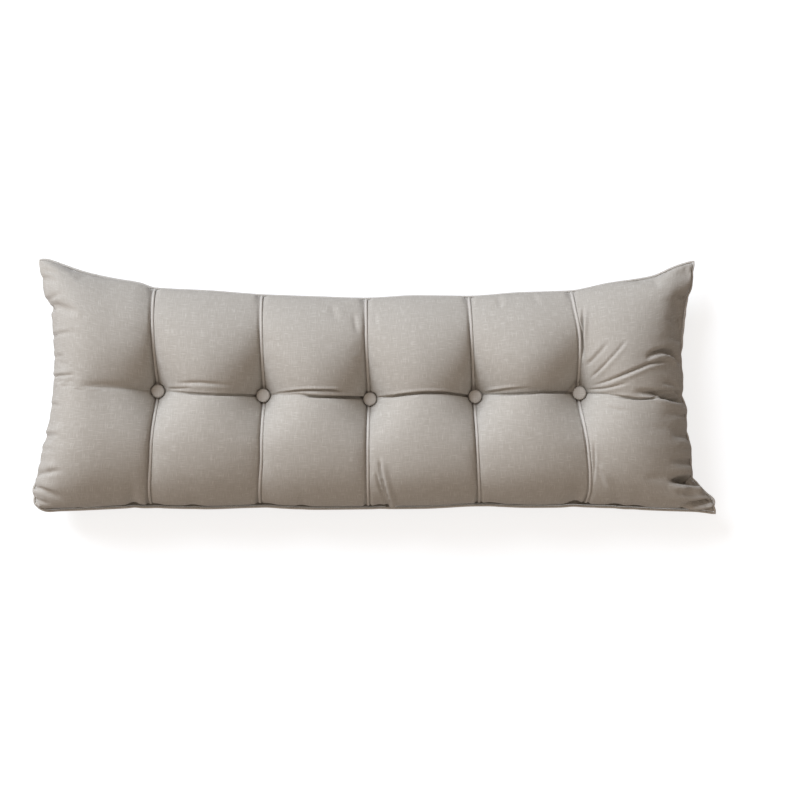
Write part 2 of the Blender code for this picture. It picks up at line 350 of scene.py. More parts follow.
# Short creases beside the middle channel and the upper edge
SHORT_CREASES = (
    Crease(((-87, 168), (-77, 140), (-71, 124)), 1.8, 5.0, 0.5),
    Crease(((-41, 150), (-35, 118), (-29, 102)), 2.4, 4.5, 0.5),
    Crease(((3, 150), (5, 118)), 1.5, 4.0, 0.4),
    Crease(((10, -140), (15, -172), (23, -208), (33, -240)), 6.6, 2.8, 0.6, Fade.START),
    Crease(((4, -168), (11, -196), (20, -222), (27, -244)), 4.6, 2.4, 0.5, Fade.START),
    Crease(((255, 176), (255, 152)), 2.4, 4.0, 0.4, Fade.END),
    Crease(((324, 182), (334, 158)), 1.6, 4.5, 0.4, Fade.END),
)

# Puckers that run in from the left and right edge seams
EDGE_PUCKERS = (
    Crease(((-666, 236), (-650, 230), (-632, 216)), 3.0, 3.6, 0.6, Fade.END),
    Crease(((-668, 173), (-650, 178), (-635, 183), (-606, 187)), 3.0, 4.4, 0.2, Fade.END),
    Crease(((-666, 158), (-652, 156), (-636, 153)), 6.0, 4.4, 0.2, Fade.END),
    Crease(((-660, 98), (-624, 105), (-576, 108)), 3.2, 3.2, 0.5, Fade.END),
    Crease(((-658, 56), (-632, 60), (-612, 58)), 2.4, 3.6, 0.5, Fade.END),
    Crease(((-656, 18), (-624, 21), (-586, 22)), 3.4, 2.8, 0.6, Fade.END),
    Crease(((-664, -40), (-640, -38), (-618, -42)), 2.6, 3.6, 0.5, Fade.END),
    Crease(((-672, -102), (-644, -97), (-622, -99)), 4.2, 3.0, 0.6, Fade.END),
    Crease(((-680, -132), (-652, -126), (-630, -127)), 2.6, 3.6, 0.5, Fade.END),
    Crease(((-688, -180), (-671, -177), (-641, -171), (-612, -167)), 6.0, 4.4, 0.3, Fade.END),
    Crease(((-694, -205), (-673, -210), (-650, -218), (-626, -228)), 7.0, 6.0, 0.2, Fade.END),
    Crease(((-698, -230), (-676, -236), (-652, -241)), 4.0, 4.4, 0.0, Fade.END),
    Crease(((-700, -232), (-692, -240), (-686, -247)), 8.0, 3.4, 0.0, Fade.END),
    Crease(((648, 198), (624, 192), (594, 188)), 3.0, 9.0, 0.0, Fade.END),
    Crease(((634, 196), (627, 150), (622, 105), (620, 60)), 10.0, 26.0, 0.0),
    Crease(((650, 184), (634, 182), (614, 186)), 6.0, 3.4, 0.3, Fade.END),
    Crease(((634, 138), (606, 134), (576, 142)), 2.6, 4.4, 0.4, Fade.END),
    Crease(((628, 96), (608, 98), (584, 106)), 2.8, 3.8, 0.4, Fade.END),
    Crease(((640, -60), (612, -56), (590, -58)), 3.0, 4.6, 0.4, Fade.END),
    Crease(((646, -104), (622, -99), (592, -97)), 6.0, 6.0, 0.4, Fade.END),
    Crease(((650, -126), (632, -124), (612, -121)), 3.0, 4.4, 0.3, Fade.END),
    Crease(((660, -156), (630, -153), (590, -149)), 9.0, 6.4, 0.4, Fade.END),
    Crease(((668, -199), (644, -196), (618, -193), (588, -190)), 32.0, 8.6, 0.3, Fade.END, 2.0),
    Crease(((696, -236), (672, -239), (646, -242), (618, -244)), 15.0, 5.0, 0.4, Fade.END, 1.6),
    Crease(((704, -247), (688, -251), (670, -254)), 4.0, 2.4, 0.5, Fade.END),
)


def ease(start: float, end: float, value: np.ndarray) -> np.ndarray:
    """Rises from 0 at start to 1 at end as 3t^2 - 2t^3.

    Args:
        start: Where the rise begins.
        end: Where it is complete.
        value: The values to read it at.

    Returns:
        The eased shares, between 0 and 1.
    """
    part = np.clip((value - start) / (end - start), 0.0, 1.0)
    return part * part * (3.0 - 2.0 * part)


def smooth_through(stations: Any, values: Any, at: np.ndarray) -> np.ndarray:
    """Reads a curve that passes through each value: a cubic between each two stations, whose slope
    at a station is the harmonic mean of the slopes beside it, or level where they differ in sign.

    Args:
        stations: The n places where the values stand, in rising order.
        values: The values, with n entries along the last axis.
        at: The places to read the curve at.

    Returns:
        The values read, with one entry for each place along the last axis.
    """
    stations = np.asarray(stations, float)
    values = np.asarray(values, float)
    steps = np.diff(stations)
    rates = np.diff(values, axis=-1) / steps
    product = rates[..., :-1] * rates[..., 1:]
    total = np.where(product > 0.0, rates[..., :-1] + rates[..., 1:], 1.0)
    slopes = np.concatenate(
        [rates[..., :1], np.where(product > 0.0, 2.0 * product / total, 0.0), rates[..., -1:]], axis=-1
    )
    piece = np.clip(np.searchsorted(stations, at, side="right") - 1, 0, len(steps) - 1)
    part = (at - stations[piece]) / steps[piece]
    rest = 1.0 - part
    start = (1.0 + 2.0 * part) * rest**2 * values[..., piece]
    start += part * rest**2 * steps[piece] * slopes[..., piece]
    end = (3.0 - 2.0 * part) * part**2 * values[..., piece + 1]
    return start + end - part**2 * rest * steps[piece] * slopes[..., piece + 1]


def unit_rows(vectors: np.ndarray) -> np.ndarray:
    """Each vector at length 1, along the last axis."""
    return vectors / np.maximum(np.linalg.norm(vectors, axis=-1, keepdims=True), TINY)


def halfway_rows(values: np.ndarray) -> np.ndarray:
    """Puts a row between each two: 9/16 of both neighbours less 1/16 of the rows beyond them.

    Args:
        values: The rows.

    Returns:
        The rows and those between them.
    """
    padded = np.concatenate([values[:1], values, values[-1:]])
    between = (9.0 * (values[:-1] + values[1:]) - padded[:-3] - padded[3:]) / 16.0
    full = np.empty((2 * len(values) - 1, *values.shape[1:]))
    full[0::2] = values
    full[1::2] = between
    return full


def stitched_back(numbers: np.ndarray, inner: np.ndarray) -> tuple[np.ndarray, np.ndarray, np.ndarray]:
    """The faces of a back panel that has half the rows and columns of the face it is sewn to.

    Args:
        numbers: The vertex numbers of the full grid, of which the back uses only the rim.
        inner: The numbers of the back's own vertices, inside its rim.

    Returns:
        Its faces with four, five and six corners, facing down.
    """
    coarse = numbers[::2, ::2].copy()
    coarse[1:-1, 1:-1] = inner
    pieces = [], []
    for turns in range(4):
        rim = np.rot90(numbers, turns)
        near = np.rot90(coarse, turns)
        one, two, three = rim[0, 2:-4:2], rim[0, 3:-3:2], rim[0, 4:-2:2]
        pieces[0].append(np.stack([one, two, three, near[1, 2:-1], near[1, 1:-2]], axis=-1))
        pieces[1].append([[rim[0, 0], rim[0, 1], rim[0, 2], near[1, 1], rim[2, 0], rim[1, 0]]])
    five, six = (np.concatenate(group)[:, ::-1] for group in pieces)
    return grid_faces(inner)[:, ::-1], five, six


def grid_normals(points: np.ndarray) -> np.ndarray:
    """The unit normals of a grid of points, from the cross product of its two central differences.

    Args:
        points: The points, as rows, columns and x, y, z.

    Returns:
        One unit normal for each point, pointing up where columns run along +X and rows along +Y.
    """
    return unit_rows(np.cross(np.gradient(points, axis=1), np.gradient(points, axis=0)))


def cloth_lengths(points: np.ndarray, axis: int) -> np.ndarray:
    """How far along the cloth each row or column lies: the running sum of the mean steps to it.

    Args:
        points: The points, as rows, columns and x, y, z.
        axis: 0 for the rows or 1 for the columns.

    Returns:
        One length for each row or column, in metres.
    """
    steps = np.linalg.norm(np.diff(points, axis=axis), axis=-1).mean(axis=1 - axis)
    return np.concatenate([[0.0], np.cumsum(steps)])


def linear(hex_colour: str) -> tuple[float, float, float, float]:
    """Turns an sRGB colour into linear light: c / 12.92 near black, or ((c + 0.055) / 1.055)^2.4.

    Args:
        hex_colour: The colour, as a hash sign and six hex digits.

    Returns:
        Its red, green and blue from 0 to 1, and full alpha.
    """
    values = np.array([int(hex_colour[i : i + 2], 16) for i in (1, 3, 5)]) / 255.0
    light = np.where(values <= 0.04045, values / 12.92, ((values + 0.055) / 1.055) ** 2.4)
    return (*light.tolist(), 1.0)


def add_node(tree: Any, kind: str, inputs: dict[Any, Any], **settings: Any) -> Any:
    """Adds one node, with its settings, and fills or links its inputs.

    Args:
        tree: The node tree.
        kind: The node's type name.
        inputs: A constant or an output socket for each named or numbered input.
        settings: The node's own attributes.

    Returns:
        The new node.
    """
    node = tree.nodes.new(kind)
    for name, value in settings.items():
        setattr(node, name, value)
    for name, value in inputs.items():
        if isinstance(value, bpy.types.NodeSocket):
            tree.links.new(value, node.inputs[name])
        else:
            node.inputs[name].default_value = value
    return node


def add_mesh(name: str, points: np.ndarray, *faces: np.ndarray) -> bpy.types.Object:
    """Makes a smooth-shaded mesh object at the origin from whole arrays.

    Args:
        name: The piece's name.
        points: Its vertices.
        faces: Its faces, as one array of vertex numbers for each number of corners.

    Returns:
        The object, linked to the scene.
    """
    data = bpy.data.meshes.new(name)
    data.vertices.add(len(points))
    data.vertices.foreach_set("co", np.ascontiguousarray(points, dtype=np.float32).ravel())
    corners = np.concatenate([group.ravel() for group in faces]).astype(np.int32)
    sizes = np.concatenate([np.full(len(group), group.shape[1]) for group in faces])
    data.loops.add(len(corners))
    data.loops.foreach_set("vertex_index", corners)
    data.polygons.add(len(sizes))
    data.polygons.foreach_set("loop_start", (np.cumsum(sizes) - sizes).astype(np.int32))
    data.update(calc_edges=True)
    data.validate()
    data.shade_smooth()
    piece = bpy.data.objects.new(name, data)
    bpy.context.scene.collection.objects.link(piece)
    return piece


def grid_faces(numbers: np.ndarray, closed: bool = False) -> np.ndarray:
    """The quads of a grid of vertex numbers, facing up where columns run along +X and rows +Y.

    Args:
        numbers: The vertex numbers, as rows and columns.
        closed: Whether the last column meets the first one again.

    Returns:
        The quads, as rows of four vertex numbers.
    """
    if closed:
        numbers = np.concatenate([numbers, numbers[:, :1]], axis=1)
    corners = [numbers[:-1, :-1], numbers[:-1, 1:], numbers[1:, 1:], numbers[1:, :-1]]
    return np.stack(corners, axis=-1).reshape(-1, 4)


def pole_caps(rings: int, spokes: int) -> np.ndarray:
    """The quads that close a tube of rings on its two poles, which are its last two vertices.

    Args:
        rings: How many rings the tube has.
        spokes: How many vertices a ring has, an even number.

    Returns:
        The quads, each over two sides of a ring, as rows of four vertex numbers.
    """
    ring = np.arange(0, spokes, 2)
    after, far = (ring + 1) % spokes, (ring + 2) % spokes
    first, base = rings * spokes, (rings - 1) * spokes
    start = np.stack([np.full(len(ring), first), far, after, ring], axis=-1)
    end = np.stack([np.full(len(ring), first + 1), base + ring, base + after, base + far], axis=-1)
    return np.concatenate([start, end])


def set_uv(piece: bpy.types.Object, uv: np.ndarray) -> None:
    """Gives a piece one UV map, named weave, in metres on the flat cloth.

    Args:
        piece: The piece.
        uv: One pair for each vertex.
    """
    data = piece.data
    loops = np.zeros(len(data.loops), dtype=np.int32)
    data.loops.foreach_get("vertex_index", loops)
    layer = data.uv_layers.new(name="weave")
    layer.data.foreach_set("uv", np.ascontiguousarray(uv[loops], dtype=np.float32).ravel())


@dataclass(frozen=True)
class LinenLook:
    """Plain-woven linen-look polyester: matt, with thicker slub threads that catch the light.

    Its threads are about 0.5 mm apart, too fine to show at this distance, so they are drawn 1.1 mm
    apart. The slubs are single thicker threads, drawn 1.5 mm thick and about 20 mm long.
    """

    name: str = "plain_woven_linen_look"
    thread_colour: str = "#b9b6b0"
    slub_colour: str = "#c6c4be"
    hollow_colour: str = "#a8a49c"
    thread_spacing: float = 0.0011
    thread_length: float = 0.024
    slub_thickness: float = 0.0015
    slub_length: float = 0.0192
    bump_height: float = 0.0005
    roughness: float = 0.86
    sheen: float = 0.18

    def stretched_noise(self, tree: Any, weave: Any, along: float, across: float, detail: float) -> Any:
        """Adds noise whose grains are long along one thread direction.

        Args:
            tree: The node tree.
            weave: The UV output, in metres.
            along: A grain's size along U.
            across: A grain's size along V.
            detail: How much finer detail the grains have.

        Returns:
            The noise's output, from 0 to 1.
        """
        mapping = add_node(
            tree, "ShaderNodeMapping", {"Vector": weave, "Scale": (1.0 / along, 1.0 / across, 1.0)}
        )
        noise = add_node(
            tree, "ShaderNodeTexNoise",
            {"Vector": mapping.outputs["Vector"], "Scale": 1.0, "Detail": detail, "Roughness": 0.55},
            noise_dimensions="2D",
        )
        return noise.outputs[0]

    def build(self) -> bpy.types.Material:
        """Makes the material.

        Returns:
            The finished material.
        """
        cloth = bpy.data.materials.new(self.name)
        cloth.use_nodes = True
        tree = cloth.node_tree
        shader = tree.nodes["Principled BSDF"]
        weave = add_node(tree, "ShaderNodeUVMap", {}, uv_map="weave").outputs["UV"]
        upright = self.stretched_noise(tree, weave, self.thread_spacing, self.thread_length, 2.0)
        level = self.stretched_noise(tree, weave, self.thread_length, self.thread_spacing, 2.0)
        threads = add_node(tree, "ShaderNodeMath", {0: upright, 1: level}, operation="ADD")
        tone = add_node(
            tree, "ShaderNodeMapRange",
            {"Value": threads.outputs[0], "From Min": 0.6, "From Max": 1.4},
        )
        plain = add_node(
            tree, "ShaderNodeMix",
            {"Factor": tone.outputs[0], 6: linear(self.hollow_colour), 7: linear(self.thread_colour)},
            data_type="RGBA",
        )
        slub_up = self.stretched_noise(tree, weave, self.slub_thickness, self.slub_length, 0.0)
        slub_across = self.stretched_noise(tree, weave, self.slub_length, self.slub_thickness, 0.0)
        slubs = add_node(tree, "ShaderNodeMath", {0: slub_up, 1: slub_across}, operation="MAXIMUM")
        thick = add_node(
            tree, "ShaderNodeMapRange",
            {"Value": slubs.outputs[0], "From Min": 0.67, "From Max": 0.81, "To Max": 0.62},
        )
        mixed = add_node(
            tree, "ShaderNodeMix",
            {"Factor": thick.outputs[0], 6: plain.outputs[2], 7: linear(self.slub_colour)},
            data_type="RGBA",
        )
        height = add_node(
            tree, "ShaderNodeMath", {0: threads.outputs[0], 1: thick.outputs[0]}, operation="ADD"
        )
        bump = add_node(
            tree, "ShaderNodeBump",
            {"Height": height.outputs[0], "Strength": 0.4, "Distance": self.bump_height},
        )
        tree.links.new(mixed.outputs[2], shader.inputs["Base Color"])
        tree.links.new(bump.outputs["Normal"], shader.inputs["Normal"])
        shader.inputs["Roughness"].default_value = self.roughness
        shader.inputs["IOR"].default_value = 1.5
        shader.inputs["Specular IOR Level"].default_value = 0.3
        shader.inputs["Sheen Weight"].default_value = self.sheen
        shader.inputs["Sheen Roughness"].default_value = 0.5
        return cloth


@dataclass
class Plan:
    """Where the cover's seams lie, seen from above."""

    channels: tuple[Channel, ...] = CHANNELS
    end_edges: tuple[EndEdge, ...] = END_EDGES
    long_edges: tuple[LongEdge, ...] = LONG_EDGES
    button_row: tuple[RowPoint, ...] = BUTTON_ROW
    gathers: tuple[Gather, ...] = GATHERS
    lifts: tuple[Lift, ...] = LIFTS
    ears: tuple[Ear, ...] = EARS
    ear_reach: float = 0.14
    piping_lift: float = 0.15
    lift_reach: float = 0.026
    lift_power: int = 8

    def section_x(self, v: np.ndarray) -> np.ndarray:
        """The x of the left edge, the channels and the right edge.

        Args:
            v: The heights to read them at.

        Returns:
            A row of x for each v, in metres.
        """
        at = [row.v for row in self.end_edges]
        left = smooth_through(at, [row.x_left for row in self.end_edges], v)
        right = smooth_through(at, [row.x_right for row in self.end_edges], v)
        for place in self.gathers:
            drawn = np.exp(-(((v - place.v) / place.width) ** 2))
            left, right = left + place.left * drawn, right - place.right * drawn
        inner = smooth_through(CHANNEL_HEIGHTS, [row[: len(CHANNEL_HEIGHTS)] for row in self.channels], v)
        return np.column_stack([left, *inner, right]) * MILLIMETRE

    def place(self, u: np.ndarray, v: np.ndarray) -> tuple[np.ndarray, np.ndarray]:
        """The x and y of each point of a grid.

        x is read along u from the seams' x at that v. y is the button row's y plus the share |v|
        of the way to the upper or lower edge. At a lift the face rises more than its edge seam, so
        a gap opens over the piping, and away from the edge the lift falls off as |v|^8. Each ear's
        tip is moved in by the product of two squares that fall to 0 away from it.

        Args:
            u: The columns' stations.
            v: The rows' heights.

        Returns:
            x and y, in metres, as rows and columns.
        """
        x = smooth_through(np.arange(LOBES + 1.0), self.section_x(v), u)
        at = [row.u for row in self.long_edges]
        bottom = smooth_through(at, [row.y_bottom for row in self.long_edges], u)
        top = smooth_through(at, [row.y_top for row in self.long_edges], u)
        middle = smooth_through(*zip(*self.button_row), u)
        edge = np.where(v[:, None] >= 0.0, top, bottom)
        y = (middle + (edge - middle) * np.abs(v)[:, None]) * MILLIMETRE
        gap = self.piping_lift + (1.0 - self.piping_lift) * ease(0.0, self.lift_reach, 1.0 + v)
        lifted = (gap * np.maximum(-v, 0.0) ** self.lift_power)[:, None]
        for place in self.lifts:
            y = y + lifted * place.rise * MILLIMETRE * np.exp(-(((u - place.u) / place.width) ** 2))
        for ear in self.ears:
            near = np.clip(1.0 - np.abs(u - ear.u) / self.ear_reach, 0.0, 1.0) ** 2
            near = near * np.clip(1.0 - np.abs(v - ear.v) / self.ear_reach, 0.0, 1.0)[:, None] ** 2
            x = x + near * ear.cut * MILLIMETRE * (1.0 if ear.u == 0.0 else -1.0)
            y = y - near * ear.cut * MILLIMETRE * ear.v
        return x, y


@dataclass
class Cover:
    """The filled linen-look cover: two panels joined round the edge, with five channels.

    Heights, depths and widths are in metres, and ranges are in u or v. The creases' reach and
    their lips' place and spread are in widths of the crease.
    """

    plan: Plan
    lobes: tuple[Lobe, ...] = LOBE_SHAPES
    lobe_width: float = 0.217
    crown_height: float = 0.186
    edge_height: float = 0.070
    ear_droop: float = 0.016
    channel_depth: float = 0.048
    upper_rise: float = 0.60
    upper_range: tuple[float, float] = (0.2, 0.75)
    lower_rise: float = 0.55
    lower_range: tuple[float, float] = (0.0, 0.5)
    channel_floor: float = 0.0038
    channel_wall: float = 0.0030
    wall_widths: tuple[float, float] = (0.0004, 0.0018)
    valley_depth: float = 0.038
    valley_share: float = 0.45
    valley_fade: float = 0.7
    valley_bow: float = 0.5
    valley_ease: float = 0.35
    ease_range: tuple[float, float] = (0.4, 1.0)
    dimple_depth: float = 0.014
    dimple_spread: float = 0.045
    dimple_floor: float = 0.098
    dimple_seat: float = 0.0142
    dimple_reach: float = 0.0168
    dimple_edge: float = 0.08
    seat_spread: float = 0.05
    piping_seat: float = 0.00665
    upper_fall: float = 3.0
    edge_rise: float = 0.6
    left_end: tuple[float, float] = (5.5, 0.6)
    right_end: tuple[float, float] = (3.2, 0.85)
    back_fullness: float = 1.22
    back_rise: float = 0.8
    lobe_columns: tuple[tuple[int, float], ...] = (
        (80, 0.5), (62, 0.6), (62, 0.6), (62, 0.6), (62, 0.6), (98, 0.35),
    )
    upper_rows: int = 88
    lower_rows: int = 90
    row_crowding: float = 0.35
    row_skew: float = 0.35
    lower_crowding: float = 0.55
    end_swell: float = 0.007
    upper_swell: float = 0.0062
    lower_swell: float = 0.007
    swell_start: float = 0.002
    upper_swell_end: float = 0.016
    lower_swell_end: float = 0.010
    swell_power: float = 0.4
    rim_reach: float = 0.028
    tuck_share: float = 0.026
    tuck_depth: float = 0.015
    crease_reach: float = 5.0
    lip_place: float = 2.5
    lip_spread: float = 1.8
    lip_range: float = 0.05
    route_points: int = 48
    cloth_frames: int = 20
    cloth_limit: float = 0.009
    cloth_spare: tuple[float, float] = (-0.012, -0.065)
    cloth_reach: float = 0.35
    cloth_rim: tuple[float, float] = (0.3, 0.25)
    cloth_calm: float = 0.3
    cloth_steps: int = 20
    sewn_width: float = 0.002
    cloth_settings: tuple[tuple[str, float], ...] = (
        ("quality", 5), ("mass", 0.25), ("tension_stiffness", 20.0), ("compression_stiffness", 20.0),
        ("shear_stiffness", 8.0), ("bending_stiffness", 0.5), ("tension_damping", 10.0),
        ("compression_damping", 10.0), ("air_damping", 2.0), ("use_pressure", True),
        ("uniform_pressure_force", 4.0),
    )
    face: np.ndarray = field(init=False)

    def crowded(self, count: int, crowding: float) -> np.ndarray:
        """Shares from 0 to 1, closer together at both ends: t - c sin(2 pi t) / (2 pi)."""
        t = np.arange(count + 1) / count
        return t - crowding * np.sin(2.0 * math.pi * t) / (2.0 * math.pi)

    def stations(self) -> tuple[np.ndarray, np.ndarray]:
        """Where the columns and rows of the face lie: closest by the channels and the button row.

        The upper shares t are also skewed towards the button row, as t (1 - k + k t).

        Returns:
            The u of each column and the v of each row.
        """
        u = [lobe + self.crowded(*columns)[:-1] for lobe, columns in enumerate(self.lobe_columns)]
        upper = self.crowded(self.upper_rows, self.row_crowding)
        upper = upper * (1.0 - self.row_skew + self.row_skew * upper)
        lower = self.crowded(self.lower_rows, self.lower_crowding)
        return np.concatenate([*u, [float(LOBES)]]), np.concatenate([-lower[:0:-1], upper])

    def lobe_values(self, name: str, u: np.ndarray) -> np.ndarray:
        """One field of the lobes at each u, smooth between the lobes' middles.

        Args:
            name: The field.
            u: The columns' stations.

        Returns:
            A value for each column.
        """
        middles = np.arange(LOBES) + 0.5
        values = [getattr(lobe, name) for lobe in self.lobes]
        return smooth_through(middles, values, np.clip(u, middles[0], middles[-1]))

    def fullness(self, u: np.ndarray, v: np.ndarray) -> np.ndarray:
        """How full the cushion is: (1 - d^p)^r, with d from 0 inside to 1 on the edge seam.

        Args:
            u: The columns' stations.
            v: The rows' heights, as a column or a whole grid.

        Returns:
            The product of that power along u and across v, from 0 to 1.
        """
        along = np.ones(len(u))
        for away, (power, rise) in ((u, self.left_end), (LOBES - u, self.right_end)):
            along *= (1.0 - (1.0 - np.clip(away, 0.0, 1.0)) ** power) ** rise
        power = np.where(v < 0.0, self.lobe_values("fall", u), self.upper_fall)
        return (1.0 - np.minimum(np.abs(v), 1.0) ** power) ** self.edge_rise * along

    def seam_height(self, u: np.ndarray, v: np.ndarray) -> np.ndarray:
        """The height of the edge seam, which droops at the ears with the powers 6 and 4."""
        out = np.abs(2.0 * u / LOBES - 1.0)
        return self.edge_height - self.ear_droop * np.abs(v)[:, None] ** 4 * out**6

    def arch(self, share: np.ndarray, power: float | np.ndarray = USUAL_ARCH) -> np.ndarray:
        """A lobe's arch, (1 - s^2)^p: 1 at its middle and 0 in the seam beside it."""
        return (1.0 - np.clip(np.abs(share), 0.0, 1.0) ** 2) ** power

    def channel_gap(self, x: np.ndarray, v: np.ndarray) -> np.ndarray:
        """How far each point is sideways from the nearest channel's middle line.

        Args:
            x: The grid's x.
            v: The rows' heights.

        Returns:
            The distances, in metres.
        """
        lines = self.plan.section_x(v)[:, 1:-1]
        return np.min(np.abs(x[..., None] - lines[:, None, :]), axis=-1)

    def button_gap(self, x: np.ndarray, y: np.ndarray) -> np.ndarray:
        """How far each point is from the nearest button's middle, seen from above."""
        centres = np.array([(c.x_button, c.y_button) for c in self.plan.channels]) * MILLIMETRE
        return np.min(np.hypot(x[..., None] - centres[:, 0], y[..., None] - centres[:, 1]), axis=-1)

    def face_heights(self, u: np.ndarray, v: np.ndarray, x: np.ndarray, y: np.ndarray) -> np.ndarray:
        """The face before its creases.

        It rises from the edge seam to the crown with the fullness, less the channels, which follow
        the arch across each lobe, less the valley on the button row, which follows the arch towards
        it and is shallower in the middle of a lobe. Round each button it is lower by
        d exp(-(r / s)^2), and it ends in a flat seat there. Along the lower edge it first tucks in
        behind the piping, by d sin(pi t) over a narrow band.

        Args:
            u: The columns' stations.
            v: The rows' heights.
            x: The grid's x.
            y: The grid's y.

        Returns:
            The heights, as rows and columns.
        """
        nearest = np.clip(np.round(u), 1, LOBES - 1)
        half_floor = 2.0 * self.channel_floor / self.lobe_width
        share = np.clip(1.0 - 2.0 * np.abs(u - nearest) + half_floor, 0.0, 1.0)
        sides = [(lobe.left_arch, lobe.right_arch) for lobe in self.lobes]
        power = np.ravel(sides)[np.minimum(2.0 * u, 2 * LOBES - 1).astype(int)]
        shallow = 1.0 - self.upper_rise * ease(*self.upper_range, v)
        shallow = shallow - self.lower_rise * ease(*self.lower_range, -v)
        channel = self.channel_depth * shallow[:, None] * (1.0 - self.arch(share, power))
        toward = np.maximum(0.0, 1.0 - np.abs(v) / self.valley_share)[:, None]
        wide = USUAL_ARCH + self.valley_ease * (1.0 - ease(*self.ease_range, u))
        valley = self.valley_depth * (1.0 - self.arch(toward, wide))
        valley = valley * np.where(v[:, None] > 0.0, self.lobe_values("valley", u), 1.0)
        valley = valley * ease(0.0, self.valley_fade, np.minimum(u, LOBES - u))
        valley = valley * (1.0 - self.valley_bow * self.arch(share))
        foot, top = self.wall_widths
        wall = ease(self.channel_floor - foot, self.channel_floor + top, self.channel_gap(x, v))
        channel = channel + self.channel_wall * (1.0 - wall)
        base = self.seam_height(u, v)
        raised = np.where(v < 0.0, np.maximum(-1.0, v / (1.0 - self.tuck_share)), v)[:, None]
        height = base + (self.crown_height - base - channel - valley) * self.fullness(u, raised)
        tuck = np.sin(math.pi * np.clip((1.0 + v) / self.tuck_share, 0.0, 1.0))[:, None]
        height = height - self.tuck_depth * tuck * ease(0.0, TUCK_FADE, np.minimum(u, LOBES - u))
        gap = self.button_gap(x, y)
        height = height - self.dimple_depth * np.exp(-((gap / self.dimple_spread) ** 2))
        seat = self.dimple_floor + self.piping_seat * wall * (1.0 - ease(0.0, self.seat_spread, gap))
        pull = 1.0 - ease(self.dimple_seat, self.dimple_reach, gap)
        height = height + (seat - height) * pull
        return np.where(gap < self.dimple_edge, np.maximum(height, seat), height)

    def swell_rim(
        self, u: np.ndarray, v: np.ndarray, x: np.ndarray, y: np.ndarray
    ) -> tuple[np.ndarray, np.ndarray]:
        """Swells the face out over its edge seam, by b (d / r) exp(1 - d / r) at a distance d.

        The channels stay as they are, so the piping in them ends flush with the lobes.

        Args:
            u: The columns' stations.
            v: The rows' heights.
            x: The grid's x.
            y: The grid's y.

        Returns:
            The moved x and y.
        """
        from_end = np.minimum(u, LOBES - u) / self.rim_reach
        below = v[:, None] < 0.0
        from_edge = np.maximum(0.0, 1.0 - np.abs(v)[:, None] - self.tuck_share * below) / self.rim_reach
        out_x = self.end_swell * from_end * np.exp(1.0 - from_end) * np.sign(u - 0.5 * LOBES)
        out_y = np.where(below, -self.lower_swell, self.upper_swell)
        out_y = out_y * from_edge * np.exp(1.0 - from_edge)
        full = np.where(below, self.lower_swell_end, self.upper_swell_end)
        lobes = ease(self.swell_start, full, self.channel_gap(x, v))
        lobes = lobes * self.fullness(u, np.zeros((1, 1))) ** self.swell_power
        ends = self.fullness(np.ones(1), v[:, None]) ** self.swell_power
        return x + out_x * ends, y + out_y * lobes

    def crease_field(self, points: np.ndarray, creases: tuple[Crease, ...]) -> np.ndarray:
        """How far the creases move the cover along its normal.

        With s the distance from the route over the crease's width, a crease is -exp(-s^2), and the
        cloth beside it stands up by the lip's share of exp(-((s - 2.5) / 1.8)^2), but not at the
        edge seam.

        Args:
            points: The grid of points.
            creases: The creases.

        Returns:
            The moves, in metres, as rows and columns.
        """
        u, v = self.stations()
        inward = np.minimum(np.minimum(u, LOBES - u), 1.0 - np.abs(v)[:, None])
        clear = ease(0.0, self.lip_range, inward)
        total = np.zeros(points.shape[:2])
        for crease in creases:
            total += self.one_crease(points[..., :2], crease, clear)
        return total

    def one_crease(self, flat: np.ndarray, crease: Crease, clear: np.ndarray) -> np.ndarray:
        """The move of one crease at each point of the grid.

        Args:
            flat: The grid's x and y.
            crease: The crease.
            clear: How much of its lip stands at each point.

        Returns:
            The moves, in metres.
        """
        route = np.array(crease.route) * MILLIMETRE
        shares = np.linspace(0.0, 1.0, self.route_points)
        line = smooth_through(np.linspace(0.0, 1.0, len(route)), route.T, shares).T
        width = crease.width * MILLIMETRE
        reach = self.crease_reach * width
        near = np.all((flat > line.min(axis=0) - reach) & (flat < line.max(axis=0) + reach), axis=-1)
        step = np.diff(line, axis=0)
        gap = flat[near][:, None, :] - line[:-1]
        part = np.clip(np.sum(gap * step, axis=-1) / np.sum(step**2, axis=-1), 0.0, 1.0)
        distance = np.linalg.norm(gap - part[..., None] * step, axis=-1)
        closest = np.argmin(distance, axis=1)
        picked = np.arange(len(closest))
        ahead, beside = step[closest].T, gap[picked, closest].T
        side = math.copysign(1.0, crease.lip) * np.sign(ahead[0] * beside[1] - ahead[1] * beside[0])
        s = distance[picked, closest] / width * np.where(side > 0.0, crease.steep, 1.0)
        share = (closest + part[picked, closest]) / len(step)
        at_start, at_end = crease.fade.value
        fade = ease(0.0, at_start + TINY, share + TINY) * ease(0.0, at_end + TINY, 1.0 - share + TINY)
        raised = np.exp(-(((side * s - self.lip_place) / self.lip_spread) ** 2))
        push = -np.exp(-(s**2)) + abs(crease.lip) * clear[near] * raised
        moves = np.zeros(flat.shape[:2])
        moves[near] = crease.depth * MILLIMETRE * push * fade
        return moves

